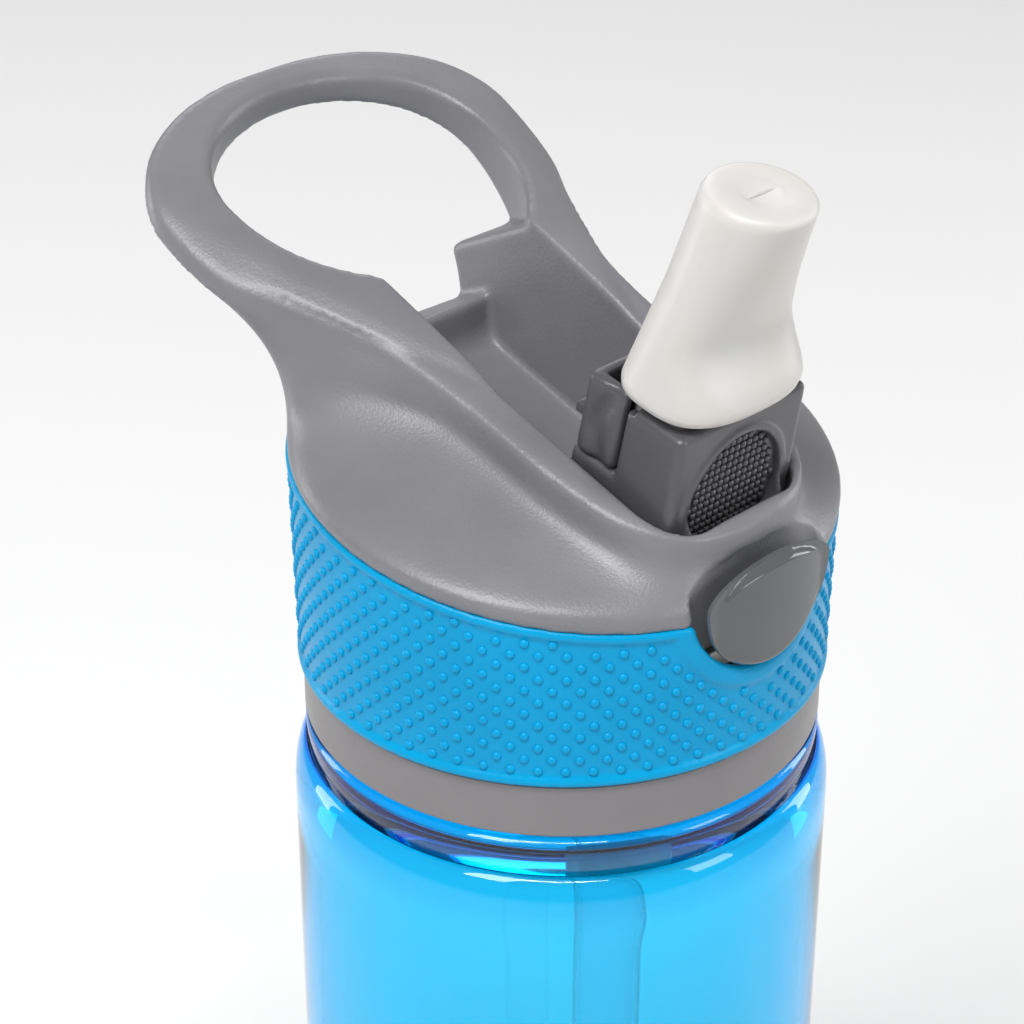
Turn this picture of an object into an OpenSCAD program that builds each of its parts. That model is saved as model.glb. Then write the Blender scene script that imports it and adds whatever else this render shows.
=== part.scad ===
// Clear sports bottle with a screw lid, a carry loop and a push-button flip-up bite valve.
// The origin is the centre of the base. +Z is up, the button faces -Y and the loop is at +Y.
// Heights of lid parts are measured from the foot of the lid, which stands at bottle_h.

/* [Bottle] */
// Height from the base to the foot of the lid
bottle_h = 190; // [150:5:230]
// Outside diameter of the body
body_d = 74; // [73:0.5:76]
// Wall thickness of the body
wall = 2.2; // [1.8:0.1:2.6]
// Outside diameter of the straw
straw_d = 9.6; // [9.2:0.1:9.8]

/* [Screw joint] */
// Outside diameter of the neck
neck_d = 60; // [59:0.5:60]
// Rise of the thread in one turn
thread_lead = 5; // [5:0.5:6]
// Turns of thread
thread_turns = 1.1; // [0.9:0.1:1.2]

/* [Lid] */
// Outside diameter of the plain ring at the foot of the lid
ring_d = 70.4; // [70:0.1:71]
// Height of that ring
ring_h = 8; // [7:0.5:9]
// Height of the band's top edge at the axis
band_top = 35.2; // [34:0.2:36]
// Rise of the band's top edge towards the loop, mm per mm
band_rise = 0.155; // [0.12:0.005:0.16]
// Thickness of the soft band
band_t = 1.5; // [1.2:0.1:1.6]

/* [Carry loop and well] */
// Height of the rim plane at the axis
rim_top = 51.2; // [50.5:0.1:52]
// Slope of the rim plane, rising towards the loop, mm per mm
rim_slope = 0.3215; // [0.31:0.0005:0.33]
// Extra height of the rim at the back of the loop
rim_curl = 4.5; // [3:0.5:5]
// Half width of the finger hole
hole_half = 21.8; // [21:0.1:22]
// Distance of the hole's widest place behind the axis
hole_y = 38.5; // [38:0.1:39]
// Half width of the well
well_half = 13; // [12.8:0.1:13.4]

/* [Spout] */
// Forward lean of the open spout, degrees
spout_lean = 12; // [10:1:14]
// Half width of the carrier
carrier_half = 11.7; // [11.2:0.1:12]
// Diameter of the mouthpiece at its tip
tip_d = 16.6; // [15:0.2:17]
// Radius of the two hinge pins
pin_r = 1.5; // [1.2:0.1:1.5]

/* [Button] */
// Half width of the button
button_half = 11.3; // [10.5:0.1:11.5]
// How far the button stands out from the axis
button_face = 37.9; // [37:0.1:38.2]

/* [Hidden] */
$fn = 96;
eps = 0.01;
gap = 0.3;

// Bottle
body_r = body_d / 2;
collar_r = 35.2;
collar_top = -0.8;
collar_h = 5.7;
shoulder_h = 6.5;
foot_r = 5;
punt_r = 24;
punt_h = 1.4;
pad_r = 10;
neck_r = neck_d / 2;
neck_wall = 2.4;
neck_top = 16;

// Threads: each ridge stands in the middle of the other's gap
ridge_root = 1.1;
ridge_crest = 0.6;
thread_crest_r = neck_r + 1.3;
thread_z = 5.5;
thread_steps = 40;

// Threaded cap
cap_inner_r = thread_crest_r + gap;
cap_outer_r = cap_inner_r + 1.6;
deck_z = 18;
deck_t = 1.5;
deck_top = deck_z + deck_t;

// Lid shell
skirt_inner_r = cap_outer_r + 0.1;
skirt_outer_r = skirt_inner_r + 1.4;
band_r = skirt_outer_r + band_t;
well_front = -31.2;
well_back = 27;
well_corner_r = 6;
well_floor = 25.4;
well_depth = 20.6;
floor_under = 24;
cross_wall_top = 46.5;
ramp_slope = 0.52;
ramp_y = 21.9;
hole_front = 22;
hole_back = 15.2;

// Spout hinge
hinge_y = -22;
hinge_z = 37;
pin_end = 16.5;
pin_start = 6.5;
barrel_r = 8.5;
pivot_half = 8.8;
pad_face = -5.1;
carrier_back = 4.2;
carrier_top = 18.4;
retainer_back = 11.4;
retainer_top = 19.6;
tooth_x = 9;
tooth_half = 1.3;

// Straw line
straw_y = -9.5;
straw_r = straw_d / 2;
straw_bore_r = straw_r - 0.7;
tube_r = 4.1;
tube_bore_r = 3.05;
mouth_v = 1.05;

// Button and latch
button_low = 21.2;
button_mid = 32;
button_high = 36;
button_back = -35.7;
pocket_back = -33.1;
stem_half = 3.4;
slide_z = 20.2;
slide_t = 2.6;
hook_y = -3.4;
hook_top = 29.6;
post_y = -17.4;
post_half = 7;

function mix(a, b, t) = a + (b - a) * t;
function clamp01(t) = max(0, min(1, t));
function ease(t) = let (c = clamp01(t)) c * c * (3 - 2 * c);
function rim_z(y) = rim_top + rim_slope * y + rim_curl * ease((y - 30) / 30);
function band_z(y) = band_top + band_rise * y;
function floor_z(y) = max(well_floor, rim_z(y) - well_depth);
function unit(v) = v / norm(v);
function reversed(list) = [for (i = [len(list) - 1:-1:0]) list[i]];

// Catmull-Rom curve between b and c
function curve_at(a, b, c, d, t) =
    (2 * b + (c - a) * t + (2 * a - 5 * b + 4 * c - d) * t * t
     + (3 * b - a - 3 * c + d) * t * t * t) / 2;

function closed_curve(points, steps) = [
    for (i = [0:len(points) - 1], s = [0:steps - 1])
        let (n = len(points))
        curve_at(points[(i + n - 1) % n], points[i], points[(i + 1) % n],
                 points[(i + 2) % n], s / steps)
];

function arc(cx, cy, r, from, to, steps = 8) =
    [for (i = [0:steps]) let (a = mix(from, to, i / steps)) [cx + r * cos(a), cy + r * sin(a)]];

module in_lid() {
    translate([0, 0, bottle_h]) children();
}

// The spout's own frame: x across, y back from the hinge, z along the open spout
module in_spout() {
    in_lid() translate([0, hinge_y, hinge_z]) rotate([spout_lean, 0, 0]) children();
}

// Extrudes an outline given in (y, z) to both sides of the plane x = 0
module across(half) {
    rotate([90, 0, 90]) translate([0, 0, -half]) linear_extrude(2 * half) children();
}

// Extrudes an outline given in (x, z) from the depth y = front to y = back
module along_y(front, back) {
    translate([0, back, 0]) rotate([90, 0, 0]) linear_extrude(back - front) children();
}

module ring_of(outer, inner, low, high) {
    rotate_extrude() translate([inner, low]) square([outer - inner, high - low]);
}

module both_sides() {
    children();
    mirror([1, 0, 0]) children();
}

// Closed skin over a stack of rings that all have the same number of points
module skin(rings) {
    n = len(rings[0]);
    last = len(rings) - 1;
    points = [for (ring = rings) for (p = ring) p];
    sides = [
        for (k = [0:last - 1], i = [0:n - 1])
            let (a = k * n + i, b = k * n + (i + 1) % n)
            each [[a, a + n, b], [b, a + n, b + n]]
    ];
    bottom = [[for (i = [0:n - 1]) i]];
    top = [[for (i = [n - 1:-1:0]) last * n + i]];
    polyhedron(points, concat(sides, bottom, top), convexity = 10);
}

// Round wire along a path; ref is a direction that the path never runs along
module wire(path, r, ref, sides = 8) {
    last = len(path) - 1;
    skin([
        for (i = [0:last])
            let (t = unit(path[min(i + 1, last)] - path[max(i - 1, 0)]),
                 u = unit(cross(t, ref)),
                 w = cross(t, u))
            [for (k = [0:sides - 1]) path[i] + r * (cos(360 * k / sides) * u + sin(360 * k / sides) * w)]
    ]);
}

// Helical ridge of a screw thread, fading in and out at its ends
module thread_ridge(root_r, crest_r, low_z) {
    steps = ceil(thread_turns * thread_steps);
    inward = crest_r < root_r;
    skin([
        for (i = [0:steps])
            let (t = i / steps,
                 a = 360 * thread_turns * t,
                 z = low_z + thread_lead * thread_turns * t,
                 c = mix(root_r, crest_r, ease(8 * min(t, 1 - t)) * 0.98 + 0.02),
                 section = [[root_r, z - ridge_root], [c, z - ridge_crest],
                            [c, z + ridge_crest], [root_r, z + ridge_root]],
                 ordered = inward ? section : reversed(section))
            [for (p = ordered) [p[0] * cos(a), p[0] * sin(a), p[1]]]
    ]);
}

// Bottle -----------------------------------------------------------------

function bottle_outline() = let (
    h = bottle_h,
    shoulder_low = h + collar_top - collar_h - shoulder_h,
    groove = h + collar_top - collar_h,
    inner_r = body_r - wall,
    bore_r = neck_r - neck_wall
) concat(
    [[0, 0], [pad_r, 0], [pad_r + 2, punt_h], [punt_r, punt_h], [punt_r + 2, 0]],
    arc(body_r - foot_r, foot_r, foot_r, -90, 0),
    [for (i = [0:8]) let (a = 90 * i / 8)
        [body_r - (body_r - collar_r + 0.5) * (1 - cos(a)), shoulder_low + shoulder_h * sin(a)]],
    [[collar_r - 0.5, groove], [collar_r, groove + 0.6]],
    arc(collar_r - 0.8, h + collar_top - 0.8, 0.8, 0, 90, 4),
    [[neck_r, h + collar_top], [neck_r, h + neck_top - 0.6], [neck_r - 0.6, h + neck_top],
     [bore_r + 0.6, h + neck_top], [bore_r, h + neck_top - 0.6], [bore_r, groove + 2]],
    [for (i = [0:8]) let (a = 90 * i / 8)
        [bore_r + (inner_r - bore_r) * sin(a), mix(groove + 2, shoulder_low - 3, 1 - cos(a))]],
    arc(inner_r - foot_r, foot_r + wall, foot_r, 0, -90),
    [[punt_r + 4, wall], [punt_r + 2, punt_h + wall], [0, punt_h + wall]]
);

module bottle_body() {
    color([0.1, 0.65, 0.95, 0.6]) {
        rotate_extrude() polygon(bottle_outline());
        in_lid() thread_ridge(neck_r - 0.2, thread_crest_r, thread_z);
    }
}

// Screw cap --------------------------------------------------------------

module vent_place() {
    translate([0, 14, 0]) children();
}

module threaded_cap() {
    color([0.45, 0.45, 0.47]) in_lid() {
        difference() {
            rotate_extrude() polygon([
                [0, deck_z], [cap_inner_r, deck_z], [cap_inner_r, 0], [ring_d / 2, 0],
                [ring_d / 2, ring_h], [cap_outer_r, ring_h], [cap_outer_r, deck_top], [0, deck_top]
            ]);
            translate([0, straw_y, 0]) cylinder(r = 4.6, h = deck_top + 1);
            vent_place() cylinder(r = 1.3, h = deck_top + 1, $fn = 32);
            vent_place() for (a = [0:120:240]) rotate(a)
                translate([2.6, 0, 0]) cylinder(r = 0.7, h = deck_top + 1, $fn = 32);
        }
        thread_ridge(cap_inner_r + 0.2, neck_r + gap, thread_z - thread_lead / 2);
    }
}

// Lid shell --------------------------------------------------------------

// Right half of the crest seen from above, from the front to the back of the loop
CREST = [[0, -33.6], [9.5, -31.8], [15.6, -26], [18, -15], [18.6, 0], [20.4, 12], [25.4, 23.2],
         [29.6, 31], [31.2, 38.6], [30.6, 45.5], [25.7, 51.8], [17.2, 56.4], [8, 58.6], [0, 59]];
CREST_LOOP = closed_curve(
    concat(CREST, [for (i = [len(CREST) - 2:-1:1]) [-CREST[i][0], CREST[i][1]]]), 4);
loop_drop = 2.6;

// 0 on the head of the lid, 1 on the carry loop
function loopness(y) = ease((y - 2) / 26);

function outward(i) =
    let (n = len(CREST_LOOP), t = unit(CREST_LOOP[(i + 1) % n] - CREST_LOOP[(i + n - 1) % n]))
    [t[1], -t[0]];

// How far the flank has moved from the band's edge to the crest at height share t
function flank(t, k) =
    mix(ease((t - 0.2) / 0.8) - 0.035 * sin(180 * clamp01(t / 0.5)), pow(t, 2.5), k);

function shell_ring(t) = [
    for (i = [0:len(CREST_LOOP) - 1])
        let (c = CREST_LOOP[i],
             k = loopness(c[1]),
             low = unit(c) * band_r,
             p = mix(low, c, flank(t, k)))
        [p[0], p[1], mix(band_z(low[1]), rim_z(c[1]) - 1 - loop_drop * k, t)]
];

function skirt_ring(z) = [for (c = CREST_LOOP) let (p = unit(c) * skirt_outer_r) [p[0], p[1], z]];

function skirt_top_ring() = [
    for (c = CREST_LOOP) let (p = unit(c) * skirt_outer_r, q = unit(c) * band_r)
        [p[0], p[1], band_z(q[1]) - eps]
];

function crest_ring(inset, drop) = [
    for (i = [0:len(CREST_LOOP) - 1]) let (c = CREST_LOOP[i] - outward(i) * inset)
        [c[0], c[1], rim_z(c[1]) - drop]
];

module shell_skin() {
    skin(concat(
        [skirt_ring(ring_h), skirt_top_ring()],
        [for (t = [0:0.1:1]) shell_ring(t)],
        [crest_ring(0.4, 0.5), crest_ring(1.6, 0)]
    ));
}

module well_outline() {
    r = well_corner_r;
    end = 46;
    polygon(concat(
        [[well_half, end], [-well_half, end]],
        arc(-well_half + r, well_front + r, r, 180, 270),
        arc(well_half - r, well_front + r, r, 270, 360)
    ));
}

module well_cut() {
    high = 90;
    intersection() {
        linear_extrude(high) well_outline();
        across(well_half + 2) polygon([
            [well_front - 5, well_floor], [-16.3, well_floor], [well_back, floor_z(well_back)],
            [well_back, cross_wall_top], [50, cross_wall_top - 10], [50, high + 1],
            [well_front - 5, high + 1]
        ]);
    }
}

// Oval that reaches low below its middle and high above it
module oval(half, low, high) {
    polygon([for (a = [0:6:354]) [half * cos(a), sin(a) * (a < 180 ? high : low)]]);
}

module finger_hole_cut() {
    front = hole_y - hole_front - 2;
    back = hole_y + hole_back + 2;
    high = 90;
    intersection() {
        translate([0, hole_y, 0]) linear_extrude(high) oval(hole_half, hole_front, hole_back);
        across(hole_half + 2) polygon([
            [front, rim_z(ramp_y) + (ramp_y - front) * ramp_slope],
            [back, rim_z(ramp_y) + (ramp_y - back) * ramp_slope], [back, high + 1], [front, high + 1]
        ]);
    }
}

module cheek_cavity() {
    difference() {
        intersection() {
            cylinder(r = skirt_inner_r, h = 60);
            across(40) polygon([[-28, floor_under - eps], [34, floor_under - eps],
                                [34, band_z(34) + 3], [-28, band_z(-28) + 3]]);
        }
        translate([-well_half - 2, -40, 0]) cube([2 * well_half + 4, 80, 60]);
    }
    across(well_half - 1) polygon([[4, floor_under - eps], [32, floor_under - eps], [32, 36.5],
                                   [27, floor_z(27) - 2.2], [4, floor_z(4) - 2.2]]);
}

// D-shaped button outline, grown by a margin
module button_outline(grow) {
    translate([0, button_mid])
        oval(button_half + grow, button_mid - button_low + grow, button_high - button_mid + grow);
}

module lid_shell() {
    color([0.44, 0.44, 0.46]) in_lid() {
        difference() {
            shell_skin();
            cylinder(r = skirt_inner_r, h = floor_under);
            cheek_cavity();
            well_cut();
            finger_hole_cut();
            translate([0, hinge_y, hinge_z]) rotate([0, 90, 0])
                cylinder(r = pin_r, h = 2 * pin_end, center = true, $fn = 48);
            along_y(-45, pocket_back) button_outline(0.5);
            // Window for the stem of the slide, and slots for its two hooks and the soft tube
            translate([-tooth_x - 2.5, -36, slide_z - 0.4]) cube([2 * tooth_x + 5, 8, 4]);
            both_sides() translate([tooth_x - 2, hook_y - 4.5, 20]) cube([4, 11, 15]);
            hull() for (y = [straw_y, -17]) translate([0, y, 20]) cylinder(r = 5, h = 15, $fn = 32);
        }
        // Post that the button spring pushes against
        translate([-post_half, post_y, deck_top + gap])
            cube([2 * post_half, 1.2, floor_under - deck_top - gap + 1]);
    }
}

// Soft band --------------------------------------------------------------

module band_slab(low, high_drop) {
    across(60) polygon([[-60, low], [60, low], [60, band_z(60) - high_drop], [-60, band_z(-60) - high_drop]]);
}

module grip_band() {
    edge_h = 1.2;
    edge_t = 0.3;
    collar_w = 3.2;
    color([0.05, 0.6, 0.85]) in_lid() difference() {
        union() {
            intersection() {
                rotate_extrude() polygon([
                    [skirt_outer_r, ring_h], [band_r + edge_t, ring_h], [band_r + edge_t, ring_h + edge_h],
                    [band_r, ring_h + edge_h + edge_t], [band_r, 50], [skirt_outer_r, 50]
                ]);
                band_slab(0, 0.05);
            }
            intersection() {
                along_y(-60, -20) button_outline(collar_w);
                ring_of(band_r + 2 * edge_t, skirt_outer_r + 0.5, ring_h + 2, 50);
                band_slab(0, 0.15);
            }
        }
        along_y(-60, -20) button_outline(0.6);
    }
}

// Seals ------------------------------------------------------------------

module neck_seal() {
    color([0.92, 0.92, 0.9]) in_lid()
        ring_of(neck_r + 1.1, neck_r - neck_wall + 0.2, neck_top + 0.15, deck_z - 0.1);
}

module vent_valve() {
    color([0.9, 0.9, 0.88]) in_lid() vent_place() rotate_extrude($fn = 48) polygon([
        [0, deck_z - 1.9], [1.4, deck_z - 1.7], [4.2, deck_z - 0.7], [4.2, deck_z], [1.25, deck_z],
        [1.25, deck_top], [2, deck_top + 0.2], [1.2, deck_top + 2], [0, deck_top + 2.4]
    ]);
}

// Button and latch -------------------------------------------------------

module push_button() {
    color([0.38, 0.39, 0.41]) in_lid() {
        intersection() {
            along_y(-40, button_back) button_outline(0);
            cylinder(r = button_face, h = 60);
        }
        translate([-stem_half, button_back - eps, slide_z + 1.2])
            cube([2 * stem_half, 3, slide_t - 1.2]);
    }
}

module latch_slide() {
    bar_front = button_back + 3 + 0.01;
    bar_back = -28.2;
    color([0.85, 0.85, 0.82]) in_lid() {
        translate([-tooth_x - 1.5, bar_front, slide_z])
            cube([2 * tooth_x + 3, bar_back - bar_front, slide_t]);
        both_sides() translate([tooth_x - 1.5, bar_back - eps, slide_z])
            cube([3, hook_y + 2.6 - bar_back, slide_t]);
        both_sides() translate([tooth_x, 0, 0]) across(1.5) polygon([
            [hook_y, slide_z], [hook_y + 2.6, slide_z], [hook_y + 2.6, hook_top],
            [hook_y + 0.6, hook_top], [hook_y - 1.1, hook_top - 1.4],
            [hook_y - 1.1, hook_top - 2], [hook_y, hook_top - 2]
        ]);
        // Spigot that centres the button spring
        translate([0, bar_back - eps, slide_z + 1.5]) rotate([-90, 0, 0]) cylinder(r = 0.9, h = 2, $fn = 32);
    }
}

module button_spring() {
    turns = 6;
    wire_r = 0.3;
    low_y = -28.2 + wire_r + 0.02;
    high_y = post_y - wire_r - 0.02;
    path = [for (i = [0:turns * 16]) let (a = 360 * i / 16, t = i / (turns * 16))
        [1.5 * cos(a), mix(low_y, high_y, t), slide_z + 1.5 + 1.5 * sin(a)]];
    color("silver") in_lid() wire(path, wire_r, [0, 1, 0], 6);
}

// Spout ------------------------------------------------------------------

// Side view of the carrier in the spout's frame: flat front, round pivot end
module carrier_side() {
    low = asin(-pad_face / barrel_r);
    polygon(concat(
        [[carrier_back, carrier_top], [pad_face, carrier_top]],
        arc(0, 0, barrel_r, 270 - low, 350, 12),
        [[retainer_back - 1, 4], [retainer_back, 7.8], [carrier_back, 7.8]]
    ));
}

module latch_tooth() {
    translate([tooth_x, 0, 0]) across(tooth_half) polygon([
        [retainer_back - 1, 10.8], [retainer_back + 2.2, 11.8], [retainer_back + 2.2, 13.2],
        [retainer_back - 1, 13.2]
    ]);
}

module spout_carrier() {
    color([0.36, 0.36, 0.38]) in_spout() difference() {
        // The pivot end is narrower, so that it turns inside the round corners of the well
        union() {
            across(pivot_half) carrier_side();
            intersection() {
                across(carrier_half) carrier_side();
                translate([-20, -20, -3]) cube(40);
            }
        }
        rotate([0, 90, 0]) cylinder(r = pin_r + 0.05, h = 60, center = true, $fn = 48);
        // Slot that lets the soft tube swing, and the seat of the mouthpiece above it
        translate([-5.2, -3.2, -12]) cube([10.4, 20, 17]);
        translate([0, mouth_v, 0]) cylinder(r = tube_r + 0.05, h = 12.1);
        translate([-9, pad_face + 1.6, 12]) cube([18, 12, 12]);
        // Pocket of the torsion spring
        translate([8.2, 0, 0]) rotate([0, 90, 0]) cylinder(r = 4.4, h = 10, $fn = 48);
        // Recessed thumb pad
        translate([0, pad_face + 0.5, 8]) rotate([90, 0, 0]) scale([1, 0.78]) cylinder(r = 9.3, h = 4);
    }
}

module spout_retainer() {
    w = carrier_half + 0.3;
    color([0.4, 0.4, 0.42]) in_spout() {
        difference() {
            translate([-w, carrier_back, 7.8]) cube([2 * w, retainer_back - carrier_back, retainer_top - 7.8]);
            translate([-w + 1.7, carrier_back - 1, 9.4]) cube([2 * w - 3.4, retainer_back - carrier_back - 0.7, 20]);
            translate([-5.2, 0, 0]) cube([10.4, 8, 12]);
        }
        both_sides() latch_tooth();
    }
}

module mouthpiece() {
    color([0.93, 0.92, 0.9]) in_spout() translate([0, mouth_v, 0]) difference() {
        union() {
            translate([-8.9, -4.5, 12.1]) cube([17.8, 9, 7]);
            hull() {
                translate([0, 0, 18.6]) linear_extrude(3) square([20, 7], center = true);
                translate([0, 0.2, 20]) linear_extrude(1.5) scale([1, 0.72]) circle(11.8, $fn = 40);
                translate([0, 0, 38]) cylinder(r = tip_d / 2 + 0.6, h = 1, $fn = 40);
            }
            hull() {
                translate([0, 0, 38]) cylinder(r = tip_d / 2 + 0.6, h = 1, $fn = 40);
                translate([0, 0, 46]) cylinder(r = tip_d / 2, h = 0.4, $fn = 40);
                translate([0, 0, 46.9]) cylinder(r = tip_d / 2 - 1.2, h = 0.5, $fn = 40);
            }
        }
        translate([0, 0, 12]) cylinder(r = tube_bore_r, h = 32.6);
        translate([-2.6, -0.25, 44]) cube([5.2, 0.5, 4]);
    }
}

// Point (y, z) in the lid of a point (v, w) in the middle plane of the spout
function spout_point(v, w) = [hinge_y + v * cos(spout_lean) - w * sin(spout_lean),
                              hinge_z + v * sin(spout_lean) + w * cos(spout_lean)];

function bezier(a, b, c, d, t) =
    pow(1 - t, 3) * a + 3 * pow(1 - t, 2) * t * b + 3 * (1 - t) * t * t * c + t * t * t * d;

// The soft tube leaves the straw adapter upright and enters the carrier along the spout.
// over lengthens it by that much at both ends.
module tube_along(r, over) {
    low = [straw_y, deck_top + 2.5];
    steps = 12;
    bend = [for (i = [0:steps])
        bezier(low + [0, 1.5], low + [0, 9], spout_point(mouth_v, -5), spout_point(mouth_v, 2.5), i / steps)];
    route = concat([low - [0, over]], bend, [spout_point(mouth_v, 12 + over)]);
    wire([for (p = route) [0, p[0], p[1]]], r, [1, 0, 0], 24);
}

module spout_tube() {
    color([0.9, 0.9, 0.88, 0.8]) in_lid() difference() {
        tube_along(tube_r, 0);
        tube_along(tube_bore_r, 1);
    }
}

module hinge_pins() {
    color("silver") in_lid() translate([0, hinge_y, hinge_z]) both_sides()
        translate([pin_start, 0, 0]) rotate([0, 90, 0]) cylinder(r = pin_r, h = pin_end - pin_start, $fn = 48);
}

module torsion_spring() {
    turns = 3;
    wire_r = 0.4;
    coil_r = 2.8;
    coil = [for (i = [0:turns * 16]) let (a = 90 + 360 * i / 16, t = i / (turns * 16))
        [mix(8.8, 11.9, t), coil_r * cos(a), coil_r * sin(a)]];
    color("silver") in_spout()
        wire(concat([[8.8, 2, coil_r]], coil, [[11.9, -3.4, coil_r]]), wire_r, [1, 0, 0], 6);
}

// Straw ------------------------------------------------------------------

module straw_adapter() {
    color([0.5, 0.5, 0.52]) in_lid() translate([0, straw_y, 0]) rotate_extrude() polygon([
        [straw_r + 0.02, -14], [straw_r + 1.3, -14], [straw_r + 1.5, 8], [6.6, 10], [6.6, deck_z - 0.02],
        [4.58, deck_z - 0.02], [4.58, deck_top + 0.6], [3.6, deck_top + 1.4], [tube_bore_r - 0.02, deck_top + 1.8],
        [tube_bore_r - 0.02, 25], [2.3, 25], [2.3, 8], [straw_r + 0.02, 8]
    ]);
}

module straw() {
    foot = 9;
    color([0.3, 0.7, 0.9, 0.7]) translate([0, straw_y, 0]) difference() {
        ring_of(straw_r, straw_bore_r, foot, bottle_h + 7.9);
        // V notch that keeps the foot from sealing against the base
        along_y(-10, 10) polygon([[-4, foot - eps], [4, foot - eps], [0, foot + 5]]);
    }
}

bottle_body();
threaded_cap();
lid_shell();
grip_band();
neck_seal();
push_button();
latch_slide();
button_spring();
spout_carrier();
spout_retainer();
mouthpiece();
spout_tube();
hinge_pins();
torsion_spring();
straw_adapter();
straw();
vent_valve();
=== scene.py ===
import math

import bmesh
import bpy
import numpy as np
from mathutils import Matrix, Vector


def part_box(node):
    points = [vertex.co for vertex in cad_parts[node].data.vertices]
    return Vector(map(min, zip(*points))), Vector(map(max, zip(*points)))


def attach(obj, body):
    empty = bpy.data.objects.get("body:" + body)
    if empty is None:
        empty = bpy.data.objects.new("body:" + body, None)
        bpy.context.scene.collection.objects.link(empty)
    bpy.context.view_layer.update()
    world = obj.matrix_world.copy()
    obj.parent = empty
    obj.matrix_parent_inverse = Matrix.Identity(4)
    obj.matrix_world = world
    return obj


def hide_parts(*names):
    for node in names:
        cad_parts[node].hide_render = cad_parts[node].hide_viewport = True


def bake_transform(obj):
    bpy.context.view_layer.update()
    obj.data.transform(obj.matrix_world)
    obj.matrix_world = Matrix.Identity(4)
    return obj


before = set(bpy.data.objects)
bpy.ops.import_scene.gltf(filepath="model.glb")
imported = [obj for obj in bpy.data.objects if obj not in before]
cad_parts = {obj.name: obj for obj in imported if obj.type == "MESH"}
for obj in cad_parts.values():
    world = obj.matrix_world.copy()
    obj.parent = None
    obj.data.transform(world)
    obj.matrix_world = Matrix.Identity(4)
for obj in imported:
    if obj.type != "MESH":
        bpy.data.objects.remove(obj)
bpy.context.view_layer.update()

import openvdb
from mathutils import Vector

# All shapes below are worked out in millimetres. Lid parts are measured from the foot of the lid.
MM = 0.001
LID_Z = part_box("threaded_cap")[0].z / MM
X_AXIS, Y_AXIS, Z_AXIS = np.eye(3)

# Rim of the lid shell: a sloping plane that curls up at the back of the loop
RIM_TOP, RIM_SLOPE = 51.2, 0.3215
RIM_CURL, CURL_START, CURL_LENGTH = 4.5, 30, 30

# Plain ring at the foot of the cap, soft band above it, and the wall of the shell behind the band
RING_R, RING_H = 35.2, 8.0
BAND_TOP, BAND_RISE, BAND_R = 35.2, 0.155, 36.0
SKIRT_R, INSIDE_R = 34.9, 33.3

# Well that the spout folds into, from its front to its open back under the finger hole
WELL_HALF, WELL_FRONT, WELL_BACK, WELL_END = 13.0, -31.2, 27.0, 46.0
WELL_FLOOR, WELL_DEPTH, WELL_CORNER = 25.4, 20.6, 6.5
WALL_TOP, WALL_SLOPE = 46.5, -0.45

# Finger hole, and the plane that cuts its front open down to the well
HOLE_HALF, HOLE_Y, HOLE_FRONT, HOLE_BACK = 21.8, 38.5, 22.0, 15.2
RAMP_Y, RAMP_SLOPE = 21.9, -0.52

# Spout, straw and button
HINGE = np.array([0.0, -22.0, 37.0])
LEAN = math.radians(12)
MOUTH_V = 1.05
STRAW_Y, STRAW_R = -9.5, 4.8
BUTTON_LOW, BUTTON_MID, BUTTON_HIGH, BUTTON_HALF = 21.2, 32.0, 36.0, 11.3
SLIDE_LOW, SLIDE_HIGH, SLIDE_FRONT, SLIDE_BACK = 20.2, 22.8, -32.7, -28.2
HOOK_X, SPRING_Z = 9.0, 21.7


# ---------------------------------------------------------------- small maths

def mix(a, b, t):
    return a + (b - a) * t


def ease(t):
    """Smooth step from 0 to 1."""
    c = np.clip(t, 0.0, 1.0)
    return c * c * (3 - 2 * c)


def rim_z(y):
    """Height of the shell's rim."""
    return RIM_TOP + RIM_SLOPE * y + RIM_CURL * ease((y - CURL_START) / CURL_LENGTH)


def band_z(y):
    """Height of the band's upper edge."""
    return BAND_TOP + BAND_RISE * y


def soft_min(a, b, k):
    """Joins two distances, with the corner between them rounded over about k millimetres."""
    h = np.maximum(k - np.abs(a - b), 0.0) / k
    return np.minimum(a, b) - h * h * k / 4


def soft_max(a, b, k):
    """Overlap of two distances, rounded in the same way. A cut is the overlap with minus the cutter."""
    return -soft_min(-a, -b, k)


def closed_curve(points, steps):
    """Catmull-Rom curve through a closed list of points."""
    p = np.array(points, float)
    t = np.arange(steps)[:, None] / steps
    out = []
    for i in range(len(p)):
        a, b, c, d = p[i - 1], p[i], p[(i + 1) % len(p)], p[(i + 2) % len(p)]
        out.append((2 * b + (c - a) * t + (2 * a - 5 * b + 4 * c - d) * t ** 2
                    + (3 * b - a - 3 * c + d) * t ** 3) / 2)
    return np.concatenate(out)


def arc(cx, cy, r, start, end, steps):
    """Points on an arc, with its angles in degrees."""
    angles = np.radians(np.linspace(start, end, steps + 1))
    return [(cx + r * math.cos(a), cy + r * math.sin(a)) for a in angles]


# ---------------------------------------------------------------- meshes

def lift(points):
    """Raises points from the lid's own heights to the bottle's."""
    return np.asarray(points, float) + np.array([0.0, 0.0, LID_Z])


def piece(name, points, faces, sharp_degrees=None):
    """A new smooth-shaded object from points in millimetres."""
    mesh = bpy.data.meshes.new(name)
    mesh.from_pydata([tuple(p) for p in np.asarray(points, float) * MM], [], faces)
    mesh.validate()
    mesh.shade_smooth()
    if sharp_degrees is not None:
        mesh.set_sharp_from_angle(angle=math.radians(sharp_degrees))
    ob = bpy.data.objects.new(name, mesh)
    bpy.context.scene.collection.objects.link(ob)
    return ob


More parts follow.
